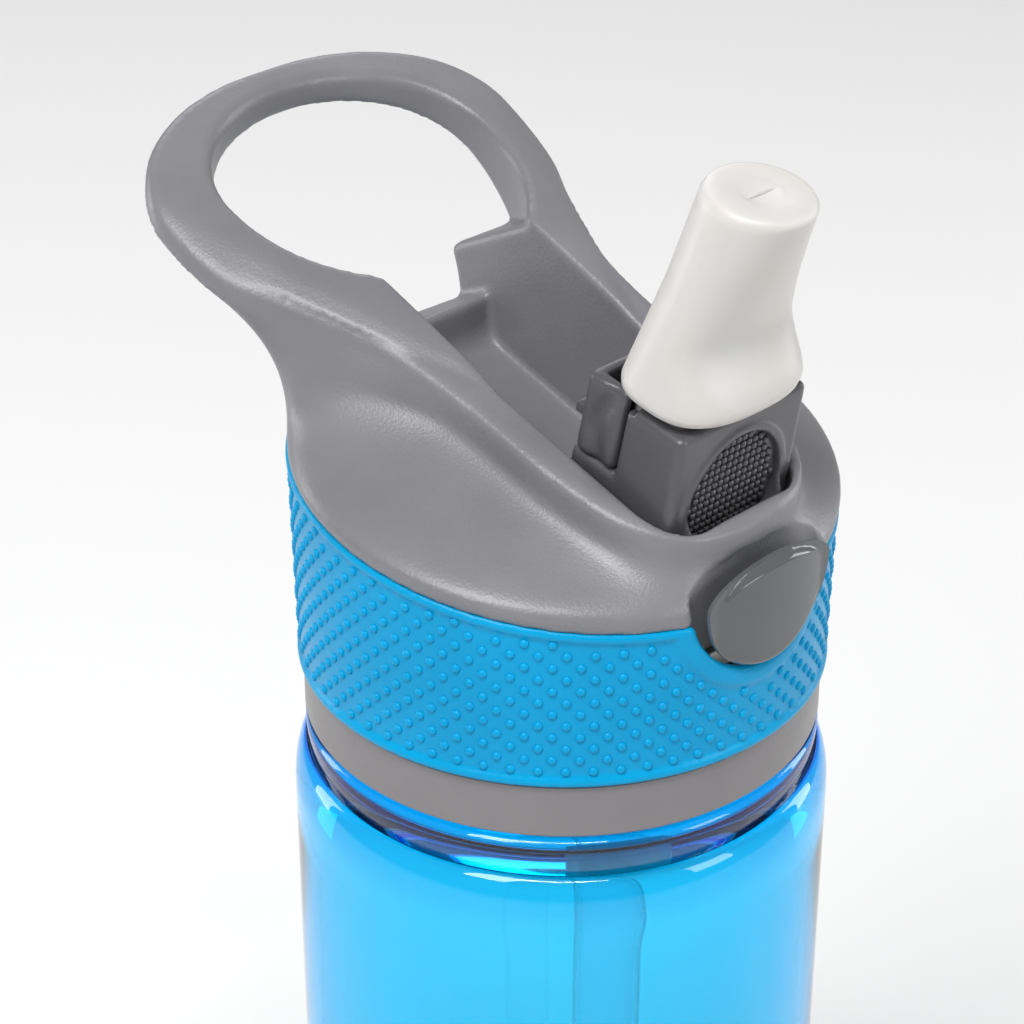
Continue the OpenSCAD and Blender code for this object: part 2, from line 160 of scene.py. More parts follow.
def joined(name, parts, sharp_degrees=None):
    """One object from several (points, faces) pairs."""
    points, faces, start = [], [], 0
    for p, f in parts:
        points.append(np.asarray(p, float))
        faces += [tuple(int(i) + start for i in face) for face in f]
        start += len(p)
    return piece(name, np.concatenate(points), faces, sharp_degrees=sharp_degrees)


def skin(rings, caps=True):
    """Quads over a stack of rings, closed with a face at each end."""
    n, last = len(rings[0]), len(rings) - 1
    points = np.concatenate([np.asarray(r, float) for r in rings])
    faces = [(k * n + i, k * n + (i + 1) % n, (k + 1) * n + (i + 1) % n, (k + 1) * n + i)
             for k in range(last) for i in range(n)]
    if caps:
        faces.append(tuple(range(n - 1, -1, -1)))
        faces.append(tuple(last * n + i for i in range(n)))
    return points, faces


def lathe(profile, segments=192, centre=(0.0, 0.0)):
    """Turns a closed outline of (radius, height) points about a vertical axis."""
    prof = np.array(profile, float)
    n = len(prof)
    angles = np.arange(segments) * 2 * math.pi / segments
    points = np.stack([
        centre[0] + np.outer(np.cos(angles), prof[:, 0]),
        centre[1] + np.outer(np.sin(angles), prof[:, 0]),
        np.tile(prof[:, 1], (segments, 1)),
    ], axis=2).reshape(-1, 3)
    faces = []
    for k in range(segments):
        a, b = k * n, (k + 1) % segments * n
        faces += [(a + i, b + i, b + (i + 1) % n, a + (i + 1) % n) for i in range(n)]
    return points, faces


def sweep(path, radius, ref, sides=12):
    """Round wire along a path."""
    path = np.array(path, float)
    turn = np.arange(sides) * 2 * math.pi / sides
    rings = []
    for i in range(len(path)):
        t = path[min(i + 1, len(path) - 1)] - path[max(i - 1, 0)]
        t = t / np.linalg.norm(t)
        u = np.cross(t, ref)
        u = u / np.linalg.norm(u)
        w = np.cross(t, u)
        rings.append(path[i] + radius * (np.outer(np.cos(turn), u) + np.outer(np.sin(turn), w)))
    return skin(rings)


def thread_ridge(root_r, crest_r, low_z):
    """Ridge of a screw thread that fades out at both ends. A crest inside the root makes a nut's thread."""
    turns, lead, steps, fade = 1.1, 5.0, 120, 1 / 8
    foot, flank, crown = 1.1, 0.75, 0.45
    rings = []
    for i in range(steps + 1):
        t = i / steps
        a = 2 * math.pi * turns * t
        z = low_z + lead * turns * t
        full = float(ease(min(t, 1 - t) / fade))
        crest = mix(root_r, crest_r, mix(0.02, 1.0, full))
        near_crest = mix(root_r, crest, 0.85)
        section = [(root_r, z - foot), (near_crest, z - flank), (crest, z - crown),
                   (crest, z + crown), (near_crest, z + flank), (root_r, z + foot)]
        if crest_r > root_r:
            section.reverse()
        rings.append([(r * math.cos(a), r * math.sin(a), h) for r, h in section])
    return skin(rings)


def face_outwards(ob):
    """Turns every face so that its normal points out of the solid."""
    grid = bmesh.new()
    grid.from_mesh(ob.data)
    bmesh.ops.recalc_face_normals(grid, faces=grid.faces[:])
    grid.to_mesh(ob.data)
    grid.free()


class Field:
    """Signed distances in millimetres on a regular grid, negative inside the solid."""

    def __init__(self, low, high, step):
        self.step = step
        self.first = np.floor(np.array(low, float) / step).astype(int)
        self.count = np.ceil(np.array(high, float) / step).astype(int) - self.first + 1
        axes = [(self.first[i] + np.arange(self.count[i])) * step for i in range(3)]
        self.x, self.y, self.z = np.meshgrid(*axes, indexing="ij", sparse=True)

    def from_mesh(self, points, faces, reach):
        """Distances to a closed mesh, true within reach of its surface."""
        tris = []
        for f in faces:
            tris += [(f[0], f[i], f[i + 1]) for i in range(1, len(f) - 1)]
        grid = openvdb.FloatGrid.createLevelSetFromPolygons(
            np.asarray(points, np.float32), triangles=np.array(tris, np.uint32),
            transform=openvdb.createLinearTransform(voxelSize=self.step),
            halfWidth=reach / self.step)
        out = np.empty(tuple(self.count), np.float32)
        grid.copyToArray(out, ijk=tuple(int(i) for i in self.first))
        return out

    def mesh(self, distance):
        """Points and faces of the surface where the distance is zero, with the faces turned outwards."""
        far = 3.0
        grid = openvdb.FloatGrid(far)
        distance = np.clip(np.broadcast_to(distance, tuple(self.count)), -far, far)
        grid.copyFromArray(np.ascontiguousarray(distance, dtype=np.float32))
        points, quads = grid.convertToQuads(isovalue=0.0)
        points = (points + self.first) * self.step
        quads = quads[:, ::-1]
        a, b, c = points[quads[:, 0]], points[quads[:, 1]], points[quads[:, 2]]
        if np.einsum("ij,ij->i", a, np.cross(b, c)).sum() < 0:
            quads = quads[:, ::-1]
        return points, quads.tolist()


def tube_distance(u, v, radius):
    """Distance from a round bar along the third axis."""
    return np.sqrt(u ** 2 + v ** 2) - radius


def box_distance(x, y, z, centre, half):
    """Distance from a box, given its centre and half its sizes."""
    qx = np.abs(x - centre[0]) - half[0]
    qy = np.abs(y - centre[1]) - half[1]
    qz = np.abs(z - centre[2]) - half[2]
    outside = np.sqrt(np.maximum(qx, 0) ** 2 + np.maximum(qy, 0) ** 2 + np.maximum(qz, 0) ** 2)
    return outside + np.minimum(np.maximum(np.maximum(qx, qy), qz), 0)


def rounded_rectangle(x, y, cx, cy, hx, hy, r):
    """Distance from a rectangle with round corners, given its centre and half its sizes."""
    qx = np.abs(x - cx) - hx + r
    qy = np.abs(y - cy) - hy + r
    return (np.sqrt(np.maximum(qx, 0) ** 2 + np.maximum(qy, 0) ** 2)
            + np.minimum(np.maximum(qx, qy), 0) - r)


def below(y, z, y0, z0, slope):
    """Distance above a plane that runs along x through (y0, z0); negative under it."""
    return (z - z0 - slope * (y - y0)) / math.hypot(1, slope)


def oval_distance(u, v, half, low, high):
    """Distance from an oval that reaches low below v = 0 and high above it, about true near it."""
    tiny = 1e-6
    height = np.where(v < 0, low, high)
    r = np.sqrt((u / half) ** 2 + (v / height) ** 2) + tiny
    return (r - 1) * r / (np.sqrt((u / half ** 2) ** 2 + (v / height ** 2) ** 2) + tiny)


def button_distance(x, z, grow=0.0):
    """Distance from the button's outline."""
    return oval_distance(x, z - BUTTON_MID, BUTTON_HALF + grow, BUTTON_MID - BUTTON_LOW + grow,
                         BUTTON_HIGH - BUTTON_MID + grow)


# ---------------------------------------------------------------- materials

def new_material(name):
    """A node material, returned with its nodes, its links and its main shader."""
    mat = bpy.data.materials.new(name)
    mat.use_nodes = True
    nodes, links = mat.node_tree.nodes, mat.node_tree.links
    return mat, nodes, links, nodes["Principled BSDF"]


def noise(nodes, links, scale, detail, kind="ShaderNodeTexNoise"):
    """A texture in object coordinates, with its scale in cycles per metre."""
    tex = nodes.new(kind)
    tex.inputs["Scale"].default_value = scale
    if "Detail" in tex.inputs:
        tex.inputs["Detail"].default_value = detail
    coords = nodes.new("ShaderNodeTexCoord")
    links.new(coords.outputs["Object"], tex.inputs["Vector"])
    return tex


def ramp(nodes, links, source, low, high, colors):
    """Turns a texture's values from low to high into a run from the first colour to the second."""
    node = nodes.new("ShaderNodeValToRGB")
    for element, position, color in zip(node.color_ramp.elements, (low, high), colors):
        element.position = position
        element.color = (*color, 1)
    links.new(source, node.inputs["Fac"])
    return node


def vary_roughness(nodes, links, bsdf, source, low, high):
    """Lets a texture move the roughness between low and high."""
    node = nodes.new("ShaderNodeMapRange")
    node.inputs["To Min"].default_value = low
    node.inputs["To Max"].default_value = high
    links.new(source, node.inputs["Value"])
    links.new(node.outputs["Result"], bsdf.inputs["Roughness"])


def bump(nodes, links, source, strength, distance, under=None):
    """Raises the surface by a texture, over another bump if there is one."""
    node = nodes.new("ShaderNodeBump")
    node.inputs["Strength"].default_value = strength
    node.inputs["Distance"].default_value = distance
    links.new(source, node.inputs["Height"])
    if under is not None:
        links.new(under.outputs["Normal"], node.inputs["Normal"])
    return node


def moulded_plastic(name, color, rough, grain_scale, grain_depth, spread=0.08, specular=0.5):
    """Moulded plastic: mottled colour, uneven gloss, and a fine leathery grain."""
    mat, nodes, links, bsdf = new_material(name)
    cloud = noise(nodes, links, 60, 4)
    dark = tuple(c * (1 - spread) for c in color)
    light = tuple(c * (1 + spread) for c in color)
    tint = ramp(nodes, links, cloud.outputs["Fac"], 0.3, 0.7, (dark, light))
    links.new(tint.outputs["Color"], bsdf.inputs["Base Color"])
    wear = noise(nodes, links, 220, 5)
    vary_roughness(nodes, links, bsdf, wear.outputs["Fac"], rough - 0.06, rough + 0.08)
    grain = noise(nodes, links, grain_scale, 2, "ShaderNodeTexVoronoi")
    fine = noise(nodes, links, grain_scale * 2.2, 4)
    first = bump(nodes, links, grain.outputs["Distance"], 0.5, grain_depth)
    second = bump(nodes, links, fine.outputs["Fac"], 0.5, grain_depth * 0.6, first)
    links.new(second.outputs["Normal"], bsdf.inputs["Normal"])
    bsdf.inputs["Specular IOR Level"].default_value = specular
    return mat


def clear_plastic(name, color, density, rough=0.015):
    """Clear tinted plastic that colours light by how far it travels inside the wall."""
    mat, nodes, links, bsdf = new_material(name)
    bsdf.inputs["Transmission Weight"].default_value = 1.0
    bsdf.inputs["IOR"].default_value = 1.5
    faint = noise(nodes, links, 30, 2)
    tint = ramp(nodes, links, faint.outputs["Fac"], 0.2, 0.8, ((0.97, 0.98, 1.0), (1.0, 1.0, 1.0)))
    links.new(tint.outputs["Color"], bsdf.inputs["Base Color"])
    vary_roughness(nodes, links, bsdf, faint.outputs["Fac"], rough, rough + 0.02)
    absorb = nodes.new("ShaderNodeVolumeAbsorption")
    absorb.inputs["Color"].default_value = (*color, 1)
    absorb.inputs["Density"].default_value = density
    links.new(absorb.outputs["Volume"], nodes["Material Output"].inputs["Volume"])
    return mat


def silicone(name, color, warm, radius):
    """Milky silicone that lets light through and picks up a faint warm tint."""
    mat, nodes, links, bsdf = new_material(name)
    cloud = noise(nodes, links, 90, 3)
    tint = ramp(nodes, links, cloud.outputs["Fac"], 0.35, 0.75, (color, warm))
    links.new(tint.outputs["Color"], bsdf.inputs["Base Color"])
    bsdf.inputs["Subsurface Weight"].default_value = 0.85
    bsdf.inputs["Subsurface Radius"].default_value = (1.0, 0.85, 0.7)
    bsdf.inputs["Subsurface Scale"].default_value = radius
    vary_roughness(nodes, links, bsdf, cloud.outputs["Fac"], 0.34, 0.46)
    dust = noise(nodes, links, 900, 3)
    soft = bump(nodes, links, dust.outputs["Fac"], 0.25, 0.00006)
    links.new(soft.outputs["Normal"], bsdf.inputs["Normal"])
    return mat


def steel(name):
    """Drawn spring wire."""
    mat, nodes, links, bsdf = new_material(name)
    bsdf.inputs["Metallic"].default_value = 1.0
    drawn = noise(nodes, links, 700, 2)
    tint = ramp(nodes, links, drawn.outputs["Fac"], 0.3, 0.7, ((0.5, 0.5, 0.51), (0.66, 0.66, 0.66)))
    links.new(tint.outputs["Color"], bsdf.inputs["Base Color"])
    vary_roughness(nodes, links, bsdf, drawn.outputs["Fac"], 0.22, 0.38)
    return mat


GREY_SHELL = moulded_plastic("grey_shell", (0.17, 0.17, 0.184), 0.34, 2200, 0.00004)
GREY_CAP = moulded_plastic("grey_cap", (0.175, 0.167, 0.173), 0.34, 1200, 0.00003)
DARK_GREY = moulded_plastic("dark_grey", (0.072, 0.072, 0.078), 0.32, 1400, 0.00003)
BUTTON = moulded_plastic("button_gloss", (0.085, 0.09, 0.096), 0.12, 500, 0.000004)
BAND_BLUE = moulded_plastic("blue_band", (0.0, 0.29, 0.56), 0.3, 2500, 0.00002, 0.05, 0.15)
ACETAL = moulded_plastic("natural_acetal", (0.72, 0.72, 0.68), 0.3, 900, 0.00001)
BOTTLE_CLEAR = clear_plastic("clear_blue", (0.0, 0.905, 1.0), 1000)
STRAW_CLEAR = clear_plastic("clear_straw", (0.45, 0.75, 0.95), 150, 0.12)
MILKY = silicone("milky_silicone", (0.55, 0.545, 0.535), (0.56, 0.53, 0.5), 0.002)
WHITE_SEAL = silicone("white_silicone", (0.84, 0.84, 0.82), (0.8, 0.8, 0.78), 0.001)
STEEL = steel("spring_steel")


def finish_piece(ob, material, body, node):
    """Gives a piece its material, hides the CAD part it stands for, and attaches it to the body it rides on.
    """
    ob.data.materials.clear()
    ob.data.materials.append(material)
    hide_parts(node)
    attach(ob, body)


def finish_soft_piece(ob, material, node):
    """Gives a piece that spans two bodies its material and hides the CAD part it stands for; the piece is
    left on no body, with its placement baked into its points.
    """
    ob.data.materials.clear()
    ob.data.materials.append(material)
    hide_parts(node)
    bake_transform(ob)


# ---------------------------------------------------------------- bottle

def bottle_outline():
    """The wall from the base's centre up the outside, over the mouth and down the inside."""
    outer, inner, bore = 37.0, 34.8, 27.6
    foot_r, foot_top, straight_parts = 5.0, 20.0, 6
    groove_drop, shoulder_drop, shoulder_in = 6.5, 13.0, 2.3
    lip_z = LID_Z + 15.4
    groove = LID_Z - groove_drop
    shoulder = LID_Z - shoulder_drop
    line = [(0, 3), (17, 3), (20, 2.6), (22.5, 1.6), (24.5, 0.5), (26.5, 0)]
    line += arc(outer - foot_r, foot_r, foot_r, -90, 0, 10)
    line += [(outer, mix(foot_top, shoulder, i / straight_parts)) for i in range(straight_parts + 1)]
    line += [(outer - shoulder_in * (1 - math.cos(a)), shoulder + groove_drop * math.sin(a))
             for a in np.radians(np.linspace(9, 90, 14))]
    line += [(34.75, groove + 0.12), (35.05, groove + 0.5)]
    line += arc(33.9, LID_Z - 2.1, 1.3, 0, 90, 8)
    line += arc(30.9, LID_Z + 0.1, 0.9, 270, 180, 5)
    line += arc(29.4, lip_z, 0.6, 0, 90, 5)
    line += arc(28.2, lip_z, 0.6, 90, 180, 5)
    line += [(mix(bore, inner, math.sin(a)), mix(groove + 2, shoulder - 5, 1 - math.cos(a)))
             for a in np.radians(np.linspace(0, 90, 16))]
    line += [(inner, mix(shoulder - 8, foot_top, i / straight_parts)) for i in range(straight_parts + 1)]
    line += arc(inner - foot_r, 7.2, foot_r, 0, -90, 10)
    line += [(26, 2.3), (24, 2.8), (22, 3.9), (19.5, 4.9), (17, 5.2), (0, 5.2)]
    return line


def make_bottle():
    ridge, ridge_faces = thread_ridge(29.8, 31.3, 5.5)
    ob = joined("bottle_body_skin", [lathe(bottle_outline(), 256), (lift(ridge), ridge_faces)], 40)
    same_point = 1e-6
    weld = bmesh.new()
    weld.from_mesh(ob.data)
    bmesh.ops.remove_doubles(weld, verts=weld.verts, dist=same_point)
    weld.to_mesh(ob.data)
    weld.free()
    finish_piece(ob, BOTTLE_CLEAR, "bottle", "bottle_body")


# ---------------------------------------------------------------- lid shell

# Outline of the rim from the front to the back of the loop, on one side
CREST_HALF = [(0, -33.6), (9.5, -31.8), (15.6, -26), (18, -15), (18.6, 0), (20.4, 12), (25.4, 23.2),
              (29.6, 31), (31.2, 38.6), (30.6, 45.5), (25.7, 51.8), (17.2, 56.4), (8, 58.6), (0, 59)]
CREST = closed_curve(CREST_HALF + [(-x, y) for x, y in CREST_HALF[-2:0:-1]], 12)


def crest_normals():
    """Level directions out of the rim's outline."""
    t = np.roll(CREST, -1, 0) - np.roll(CREST, 1, 0)
    t /= np.linalg.norm(t, axis=1)[:, None]
    return np.stack([t[:, 1], -t[:, 0]], 1)


def shell_rings():
    """Rings of the outside: skirt behind the band, cheeks or the loop's flanks, and rounded rim."""
    loop_start, loop_reach, loop_drop, loop_power = 2, 26, 2.6, 2.5
    cheek_rings, cheek_start, cheek_reach = 60, 0.1, 0.66
    valley_depth, valley_reach = 0.045, 0.4
    in_loop = ease((CREST[:, 1] - loop_start) / loop_reach)
    direction = CREST / np.linalg.norm(CREST, axis=1)[:, None]
    low = direction * (BAND_R + 0.1)
    low_z = band_z(low[:, 1])
    high_z = rim_z(CREST[:, 1]) - 1 - loop_drop * in_loop
    skirt = direction * SKIRT_R
    rings = [np.column_stack([skirt, np.full(len(skirt), RING_H + 0.05)]),
             np.column_stack([skirt, low_z - 0.3])]
    for t in np.linspace(0, 1, cheek_rings):
        valley = valley_depth * math.sin(math.pi * min(1.0, t / valley_reach))
        cheek = ease((t - cheek_start) / cheek_reach) - valley
        share = mix(cheek, t ** loop_power, in_loop)[:, None]
        rings.append(np.column_stack([mix(low, CREST, share), mix(low_z, high_z, t)]))
    normal = crest_normals()
    for inset, cheek_drop, flank_drop in ((0.25, 0.6, 1.4), (0.7, 0.35, 0.6), (1.6, 0.0, 0.0)):
        p = CREST - normal * inset
        rings.append(np.column_stack([p, rim_z(p[:, 1]) - mix(cheek_drop, flank_drop, in_loop)]))
    return rings


def well_cut(f):
    """Well whose floor is level in front and rises with the rim behind, up to a low back wall."""
    well = rounded_rectangle(f.x, f.y, 0, (WELL_FRONT + WELL_END) / 2, WELL_HALF,
                             (WELL_END - WELL_FRONT) / 2, WELL_CORNER)
    floor = np.maximum(WELL_FLOOR - f.z, -below(f.y, f.z, 0, RIM_TOP - WELL_DEPTH, RIM_SLOPE))
    over_wall = -below(f.y, f.z, WELL_BACK, WALL_TOP, WALL_SLOPE)
    before_wall = soft_max(floor, f.y - WELL_BACK, 3.0)
    return soft_max(well, soft_min(before_wall, over_wall, 1.2), 1.0)


def finger_hole_cut(f):
    """Finger hole that widens downwards, made only above the ramp at its front."""
    flare_slope, flare_top = 0.22, RIM_TOP - 4
    hole = oval_distance(f.x, f.y - HOLE_Y, HOLE_HALF, HOLE_FRONT, HOLE_BACK)
    over_ramp = -below(f.y, f.z, RAMP_Y, rim_z(RAMP_Y), RAMP_SLOPE)
    flare = hole - flare_slope * np.maximum(0, flare_top + RIM_SLOPE * f.y - f.z)
    return soft_min(soft_max(hole, over_ramp, 1.0), np.maximum(flare, over_ramp), 1.5)


def deck_cuts(f):
    """Window for the slide, slots for its two hooks, and slot for the soft tube."""
    slide_window = box_distance(f.x, f.y, f.z, (0, -32, 21.8), (11.5, 4, 2.2))
    hook_slots = box_distance(np.abs(f.x), f.y, f.z, (HOOK_X, -2.4, 27.5), (2.1, 5.6, 7.5))
    tube_slot = rounded_rectangle(f.x, f.y, 0, -13.25, 5, 8.75, 5)
    return slide_window, hook_slots, np.maximum(tube_slot, np.abs(f.z - 27.5) - 7.5)


def cheek_cavity(f):
    """Space inside each cheek, beside the well and over the cap."""
    under_cheek = below(f.y, f.z, 0, BAND_TOP + 3, BAND_RISE)
    cavity = np.maximum(tube_distance(f.x, f.y, INSIDE_R), under_cheek)
    return np.maximum(np.maximum(cavity, WELL_HALF + 2 - np.abs(f.x)), -28 - f.y)


def make_shell():
    inside_top, pocket_gap, pocket_back = 24, 0.7, -32.7
    f = Field((-38.5, -39, 6), (38.5, 71.5, 76), 0.5)
    body = f.from_mesh(*skin(shell_rings()), reach=6)
    body = soft_max(body, -well_cut(f), 1.2)
    body = soft_max(body, -finger_hole_cut(f), 1.3)
    pocket = np.maximum(button_distance(f.x, f.z, pocket_gap), f.y - pocket_back)
    body = soft_max(body, -pocket, 0.7)
    inside = np.maximum(tube_distance(f.x, f.y, INSIDE_R), f.z - inside_top)
    body = np.maximum(body, -inside)
    for cut in deck_cuts(f):
        body = soft_max(body, -cut, 0.4)
    spring_post = box_distance(f.x, f.y, f.z, (0, -16.8, 22.4), (7, 0.6, 2.6))
    body = np.minimum(body, spring_post)
    body = np.maximum(body, -cheek_cavity(f))
    points, faces = f.mesh(body)
    ob = piece("lid_shell_skin", lift(points), faces)
    finish_piece(ob, GREY_SHELL, "lid", "lid_shell")


# ---------------------------------------------------------------- cap, band and button

def make_cap():
    """Cap with a deck on top, an inside thread, and the plain ring round its foot."""
    bore, wall_r, deck_low, deck_top, bevel = 31.6, 33.2, 18, 19.5, 0.35
    outline = [(0, deck_low), (bore, deck_low), (bore, 0.4), (32, 0), (RING_R - bevel, 0), (RING_R, bevel),
               (RING_R, RING_H - bevel), (RING_R - bevel, RING_H), (wall_r, RING_H), (wall_r, deck_top),
               (0, deck_top)]
    parts = [lathe(outline), thread_ridge(31.8, 30.3, 3.0)]
    ob = joined("threaded_cap_skin", [(lift(p), q) for p, q in parts], 30)
    finish_piece(ob, GREY_CAP, "lid", "threaded_cap")


BAND_IN, BAND_FOOT, BAND_FLARE = 34.75, 35.45, 0.016
DOT_R, DOT_H, DOT_PITCH, DOT_ROW = 0.68, 0.42, 3.5, 1.72


def band_radius(z):
    """Radius of the band's plain surface, which widens a little upwards."""
    return BAND_FOOT + BAND_FLARE * (z - RING_H)


def dome(centre, outward, along):
    """Low round dot standing on an upright surface."""
    turn = np.arange(8) * math.pi / 4
    circle = np.outer(np.cos(turn), along) + np.outer(np.sin(turn), Z_AXIS)
    rings = [centre + outward * height + DOT_R * share * circle
             for share, height in ((1.0, -0.15), (0.93, 0.12), (0.7, 0.3), (0.35, DOT_H))]
    return skin(rings)


def band_dots():
    """Rows of dots round the band, each row set half a pitch on, clear of the hems and the collar."""
    foot_hem, top_hem, collar = 2.4, 2.0, 4.2
    count = round(2 * math.pi * BAND_FOOT / DOT_PITCH)
    rows = int((band_z(BAND_R) - RING_H) / DOT_ROW)
    dots = []
    for row in range(rows):
        z = RING_H + foot_hem + row * DOT_ROW
        for k in range(count):
            a = 2 * math.pi * (k + 0.5 * (row % 2)) / count
            outward = np.array([math.sin(a), -math.cos(a), 0])
            along = np.array([math.cos(a), math.sin(a), 0])
            x, y = band_radius(z) * outward[:2]
            near_button = y < 0 and button_distance(x, z) < collar
            if z < band_z(y) - top_hem and not near_button:
                dots.append(dome(np.array([x, y, z]), outward, along))
    return dots


def make_band():
    """Band with raised hems, a raised collar round the button, and dots."""
    relief, hem, hem_fade, collar, collar_fade, hole_gap = 0.5, 1.75, 0.7, 3.7, 0.8, 0.6
    far = 50
    f = Field((-37, -37, RING_H - 1), (37, 37, 42), 0.42)
    radius = np.sqrt(f.x ** 2 + f.y ** 2)
    button = button_distance(f.x, f.z) + far * (f.y > 0)
    edge = np.minimum(f.z - RING_H, band_z(f.y) - f.z)
    raised = np.maximum(ease((hem - edge) / hem_fade), ease((collar - button) / collar_fade))
    outer = radius - band_radius(f.z) - relief * raised
    body = soft_max(outer, -edge + 0.05, 0.6)
    body = soft_max(body, hole_gap - button, 0.8)
    body = np.maximum(body, BAND_IN - radius)
    parts = [f.mesh(body)] + band_dots()
    ob = joined("grip_band_skin", [(lift(p), q) for p, q in parts])
    finish_piece(ob, BAND_BLUE, "lid", "grip_band")


def block(low, high, bevel=0.25):
    """Box between two corners, with its edges broken."""
    low, high = Vector(low), Vector(high)
    grid = bmesh.new()
    bmesh.ops.create_cube(grid, size=1)
    for v in grid.verts:
        v.co = (low + high) / 2 + v.co * (high - low)
    bmesh.ops.bevel(grid, geom=grid.edges[:], offset=bevel, segments=2, profile=0.5, affect="EDGES")
    grid.verts.index_update()
    points = np.array([tuple(v.co) for v in grid.verts])
    faces = [tuple(v.index for v in face.verts) for face in grid.faces]
    grid.free()
    return points, faces


def oval_ring(inset):
    """Points on the button's outline shrunk by inset, and how far up each one is, from -1 to 1."""
    a = np.radians(np.arange(0, 360, 2.5))
    up, down = BUTTON_HIGH - BUTTON_MID, BUTTON_MID - BUTTON_LOW
    height = np.sin(a) * np.where(a < math.pi, up, down)
    left = 1 - inset / BUTTON_HALF
    return (BUTTON_HALF - inset) * np.cos(a), BUTTON_MID + height * left, np.sin(a)


def make_button():
    """Button with a curved face, a rounded edge and a wide bevel along its top, and a stem behind."""
    face_r, back, least_wall, stem_half = 37.3, -35.5, 0.5, 3.4
    edge_drop, edge_width, bevel_drop, bevel_width, bevel_spread = 0.75, 0.7, 1.1, 2.9, 1.6
    rings = []
    for inset in (0.25, 0.0):
        x, z, _ = oval_ring(inset)
        rings.append(np.column_stack([x, np.full(len(x), back), z]))
    for inset in (0.0, 0.12, 0.35, 0.7, 1.1, 1.6, 2.1, 2.5, 2.8, 3.2, 4.5, 6.5, 8.5, 10.5):
        x, z, upness = oval_ring(inset)
        edge = edge_drop * max(0.0, 1 - inset / edge_width) ** 2
        bevel = bevel_drop * ease(upness * bevel_spread) * (1 - float(ease(inset / bevel_width)))
        face_y = edge + bevel - np.sqrt(face_r ** 2 - x ** 2)
        rings.append(np.column_stack([x, np.minimum(face_y, back - least_wall), z]))
    button = skin([ring[::-1] for ring in rings])
    stem = block((-stem_half, back - 0.05, 21.4), (stem_half, SLIDE_FRONT, SLIDE_HIGH))
    ob = joined("push_button_skin", [(lift(p), q) for p, q in (button, stem)], 50)
    finish_piece(ob, BUTTON, "button", "push_button")


# ---------------------------------------------------------------- spout

# The spout's frame has its origin on the hinge: x across, y towards the back, z (or w) along the spout.
PAD_W, PAD_HALF, PAD_UP, PAD_DEPTH = 6.4, 8.3, 8.7, 0.7
KNURL_PITCH = 1.1
CARRIER_HALF, CARRIER_FRONT, CARRIER_TOP = 11.7, -5.1, 18.4


def leaning(v, w):
    """From back and along in the spout's frame to y and z in the lid's frame."""
    return (HINGE[1] + v * math.cos(LEAN) - w * math.sin(LEAN),
            HINGE[2] + v * math.sin(LEAN) + w * math.cos(LEAN))


def spout_point(v, w):
    """A point of the spout's middle plane, in the lid's frame."""
    return np.array([0.0, *leaning(v, w)])


def spout_to_world(points):
    """From the spout's frame to the bottle's."""
    x, v, w = np.asarray(points, float).T
    y, z = leaning(v, w)
    return np.column_stack([x, y, z + LID_Z])


def front_face(w):
    """The thumb face stands a little more upright than the spout itself."""
    return CARRIER_FRONT - 0.06 * (CARRIER_TOP - w)


def thumb_pad(f):
    """The raised rim of the thumb pad and the shallow recess inside it."""
    pad = oval_distance(f.x, f.z - PAD_W, PAD_HALF, PAD_UP, PAD_UP)
    depth = f.y - front_face(f.z)
    rim = np.maximum(np.abs(pad - 0.7) - 0.55, np.abs(depth) - 0.3)
    return rim, np.maximum(pad, depth - PAD_DEPTH)


def carrier_solid(f):
    """Block that turns on the pins, hollow for the mouthpiece's foot, with a heel for the latch."""
    barrel_half, barrel_r, eye_r, bore_r = 8.7, 8.4, 5.6, 1.55
    cavity_floor, slot_top = 12, 5
    front = soft_max(f.z - CARRIER_TOP, front_face(f.z) - f.y, 0.8)
    front = np.maximum(front, np.maximum(f.y - 4.2, -2 - f.z))
    barrel = np.maximum(tube_distance(f.y, f.z, barrel_r), np.abs(f.x) - barrel_half)
    heel = box_distance(0, f.y, f.z, (0, 6, 5.2), (1, 5.4, 2.6))
    side = np.minimum(np.minimum(front, tube_distance(f.y, f.z, eye_r)), barrel)
    side = soft_min(side, heel, 1.0)
    body = soft_max(side, np.abs(f.x) - CARRIER_HALF, 1.2)
    cavity = rounded_rectangle(f.x, f.y, 0, 4.2, 9.9, 7.6, 2.0)
    body = soft_max(body, -soft_max(cavity, cavity_floor - f.z, 0.6), 0.5)
    rim, recess = thumb_pad(f)
    body = soft_min(body, rim, 0.5)
    tube_slot = np.maximum(rounded_rectangle(f.x, f.y, 0, 6.8, 5.2, 10, 0.5), f.z - slot_top)
    pin_bore = tube_distance(f.y, f.z, bore_r)
    notch = box_distance(f.x, f.y, f.z, (-11.2, 3.6, CARRIER_TOP), (1.6, 0.7, 0.9))
    for cut in (tube_slot, pin_bore, recess, notch):
        body = soft_max(body, -cut, 0.35)
    return body


def knurl_bumps():
    """Small square studs over the thumb pad."""
    margin, sunk = 0.6, 0.05
    corners = ((1, 1), (-1, 1), (-1, -1), (1, -1))
    reach = int(PAD_UP / KNURL_PITCH) + 1
    bumps = []
    for i in range(-reach, reach + 1):
        for k in range(-reach, reach + 1):
            x, up = i * KNURL_PITCH, k * KNURL_PITCH
            if (x / (PAD_HALF - margin)) ** 2 + (up / (PAD_UP - margin)) ** 2 > 1:
                continue
            w = PAD_W + up
            base = front_face(w) + PAD_DEPTH + sunk
            rings = [[(x + half * a, base - height, w + half * b) for a, b in corners]
                     for half, height in ((0.42, 0.0), (0.38, 0.35), (0.22, 0.55))]
            bumps.append(skin(rings))
    return bumps


